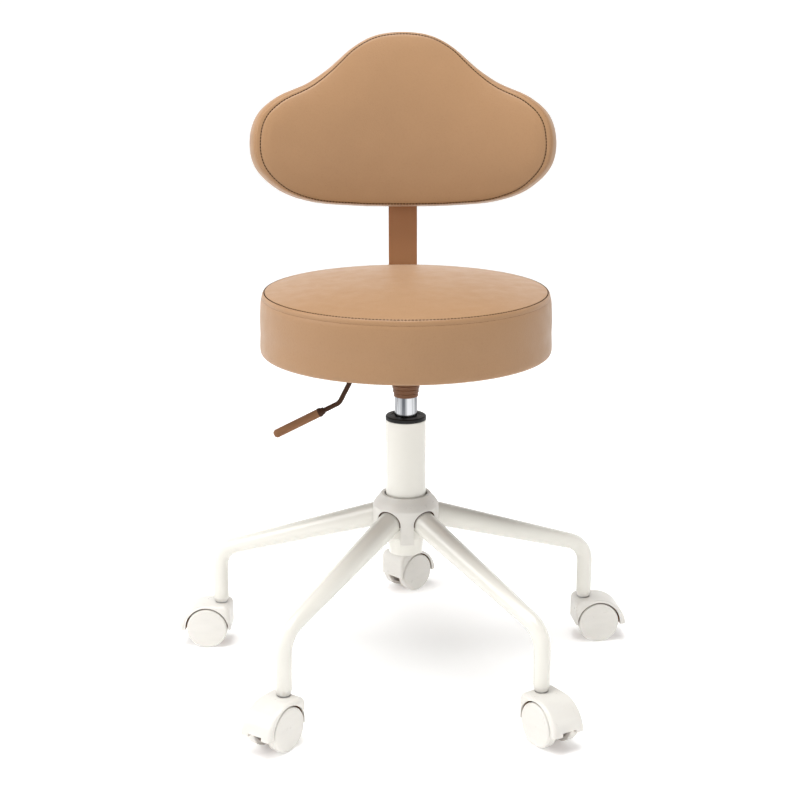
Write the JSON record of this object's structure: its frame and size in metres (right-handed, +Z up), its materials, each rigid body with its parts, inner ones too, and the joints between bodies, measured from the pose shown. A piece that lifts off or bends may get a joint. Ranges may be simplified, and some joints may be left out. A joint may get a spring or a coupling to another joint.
{
  "type": "rolling stylist stool",
  "caption": "Height-adjustable swivel stool with a round padded seat, a shaped padded backrest on a flat bar, a release lever and a bent-tube star base on twin-wheel casters.",
  "frame": {"origin": "on the floor under the axis of the gas-lift column", "axes": "+Z up; the sitter faces -Y, the backrest is on the +Y side, and the release lever is on the -X side"},
  "size_m": [0.5892, 0.5638, 0.7857],
  "materials": {
    "tan_leather": "tan leatherette, satin, fine pebble grain",
    "foam": "soft polyurethane foam",
    "plywood": "raw plywood",
    "dust_fabric": "black spun-bond dust cover",
    "brown_metal": "brown powder coat",
    "cream_metal": "creamy white powder coat",
    "white_plastic": "white moulded nylon",
    "brown_plastic": "brown moulded nylon",
    "tan_plastic": "tan moulded grip",
    "black_plastic": "black acetal",
    "black_rubber": "black rubber",
    "chrome": "polished chrome plate",
    "steel": "zinc plated steel"
  },
  "bodies": {
    "base": {"column_tube": "cream_metal", "guide_bush": "black_plastic", "thrust_bearing": "steel", "hub_sleeve": "cream_metal", "hub_cover": "white_plastic", "leg_inserts": "white_plastic", "caster_stems": "steel", "leg_rear": "cream_metal", "leg_left_rear": "cream_metal", "leg_left_front": "cream_metal", "leg_right_front": "cream_metal", "leg_right_rear": "cream_metal"},
    "lift_rod": {"piston_rod": "steel", "rod_clip": "steel", "stop_buffer": "black_rubber"},
    "seat": {"gas_cylinder": "chrome", "taper_socket": "brown_metal", "seat_plate": "brown_metal", "lever_pin": "steel", "plate_bolts": "steel", "bracket_bolts": "steel", "seat_board": "plywood", "seat_foam": "foam", "seat_cover": "tan_leather", "dust_cover": "dust_fabric", "dust_cover_staples": "steel", "tee_nuts": "steel", "back_bracket": "brown_metal", "backrest_board": "plywood", "backrest_foam": "foam", "backrest_cover": "tan_leather", "backrest_bolts": "steel"},
    "lever": {"lever_rod": "brown_metal", "lever_grip": "tan_plastic"},
    "release_button": {"release_button": "steel"},
    "rear_caster": {"rear_hood": "white_plastic", "rear_caster_body": "brown_plastic", "rear_axle": "steel"},
    "rear_wheel_l": {"rear_wheel_l": "white_plastic"},
    "rear_wheel_r": {"rear_wheel_r": "white_plastic"},
    "left_rear_caster": {"left_rear_hood": "white_plastic", "left_rear_caster_body": "brown_plastic", "left_rear_axle": "steel"},
    "left_rear_wheel_l": {"left_rear_wheel_l": "white_plastic"},
    "left_rear_wheel_r": {"left_rear_wheel_r": "white_plastic"},
    "left_front_caster": {"left_front_hood": "white_plastic", "left_front_caster_body": "brown_plastic", "left_front_axle": "steel"},
    "left_front_wheel_l": {"left_front_wheel_l": "white_plastic"},
    "left_front_wheel_r": {"left_front_wheel_r": "white_plastic"},
    "right_front_caster": {"right_front_hood": "white_plastic", "right_front_caster_body": "brown_plastic", "right_front_axle": "steel"},
    "right_front_wheel_l": {"right_front_wheel_l": "white_plastic"},
    "right_front_wheel_r": {"right_front_wheel_r": "white_plastic"},
    "right_rear_caster": {"right_rear_hood": "white_plastic", "right_rear_caster_body": "brown_plastic", "right_rear_axle": "steel"},
    "right_rear_wheel_l": {"right_rear_wheel_l": "white_plastic"},
    "right_rear_wheel_r": {"right_rear_wheel_r": "white_plastic"}
  },
  "joints": [
    {"name": "seat_swivel", "type": "hinge", "parent": "base", "child": "lift_rod", "pos_m": [0, 0, 0.16], "axis": [0, 0, 1], "continuous": true},
    {"name": "seat_height", "type": "slide", "parent": "lift_rod", "child": "seat", "axis": [0, 0, 1], "range_m": [0, 0.11]},
    {"name": "lever_tilt", "type": "hinge", "parent": "seat", "child": "lever", "pos_m": [-0.024, 0, 0.402], "axis": [0, 1, 0], "range_deg": [0, 8], "stiffness_Nm_per_rad": 1.5, "springref_deg": -20.05},
    {"name": "release_button_travel", "type": "slide", "parent": "seat", "child": "release_button", "axis": [0, 0, -1], "range_m": [0, 0.0035]},
    {"name": "rear_caster_swivel", "type": "hinge", "parent": "base", "child": "rear_caster", "pos_m": [-0.00528, 0.25194, 0.05], "axis": [0, 0, 1], "continuous": true},
    {"name": "rear_wheel_l_spin", "type": "hinge", "parent": "rear_caster", "child": "rear_wheel_l", "pos_m": [0.00773, 0.26365, 0.0265], "axis": [0.6691, -0.7431, 0], "continuous": true},
    {"name": "rear_wheel_r_spin", "type": "hinge", "parent": "rear_caster", "child": "rear_wheel_r", "pos_m": [0.00773, 0.26365, 0.0265], "axis": [0.6691, -0.7431, 0], "continuous": true},
    {"name": "left_rear_caster_swivel", "type": "hinge", "parent": "base", "child": "left_rear_caster", "pos_m": [-0.24124, 0.07284, 0.05], "axis": [0, 0, 1], "continuous": true},
    {"name": "left_rear_wheel_l_spin", "type": "hinge", "parent": "left_rear_caster", "child": "left_rear_wheel_l", "pos_m": [-0.25872, 0.07375, 0.0265], "axis": [0.0523, 0.9986, 0], "continuous": true},
    {"name": "left_rear_wheel_r_spin", "type": "hinge", "parent": "left_rear_caster", "child": "left_rear_wheel_r", "pos_m": [-0.25872, 0.07375, 0.0265], "axis": [0.0523, 0.9986, 0], "continuous": true},
    {"name": "left_front_caster_swivel", "type": "hinge", "parent": "base", "child": "left_front_caster", "pos_m": [-0.14382, -0.20693, 0.05], "axis": [0, 0, 1], "continuous": true},
    {"name": "left_front_wheel_l_spin", "type": "hinge", "parent": "left_front_caster", "child": "left_front_wheel_l", "pos_m": [-0.15411, -0.22109, 0.0265], "axis": [-0.809, 0.5878, 0], "continuous": true},
    {"name": "left_front_wheel_r_spin", "type": "hinge", "parent": "left_front_caster", "child": "left_front_wheel_r", "pos_m": [-0.15411, -0.22109, 0.0265], "axis": [-0.809, 0.5878, 0], "continuous": true},
    {"name": "right_front_caster_swivel", "type": "hinge", "parent": "base", "child": "right_front_caster", "pos_m": [0.15236, -0.20073, 0.05], "axis": [0, 0, 1], "continuous": true},
    {"name": "right_front_wheel_l_spin", "type": "hinge", "parent": "right_front_caster", "child": "right_front_wheel_l", "pos_m": [0.16163, -0.21557, 0.0265], "axis": [-0.848, -0.5299, 0], "continuous": true},
    {"name": "right_front_wheel_r_spin", "type": "hinge", "parent": "right_front_caster", "child": "right_front_wheel_r", "pos_m": [0.16163, -0.21557, 0.0265], "axis": [-0.848, -0.5299, 0], "continuous": true},
    {"name": "right_rear_caster_swivel", "type": "hinge", "parent": "base", "child": "right_rear_caster", "pos_m": [0.23798, 0.08287, 0.05], "axis": [0, 0, 1], "continuous": true},
    {"name": "right_rear_wheel_l_spin", "type": "hinge", "parent": "right_rear_caster", "child": "right_rear_wheel_l", "pos_m": [0.25542, 0.0844, 0.0265], "axis": [0.0872, -0.9962, 0], "continuous": true},
    {"name": "right_rear_wheel_r_spin", "type": "hinge", "parent": "right_rear_caster", "child": "right_rear_wheel_r", "pos_m": [0.25542, 0.0844, 0.0265], "axis": [0.0872, -0.9962, 0], "continuous": true}
  ],
  "couplings": [
    {"joint": "release_button_travel", "follows": "lever_tilt", "m_per_rad": 0.024}
  ]
}
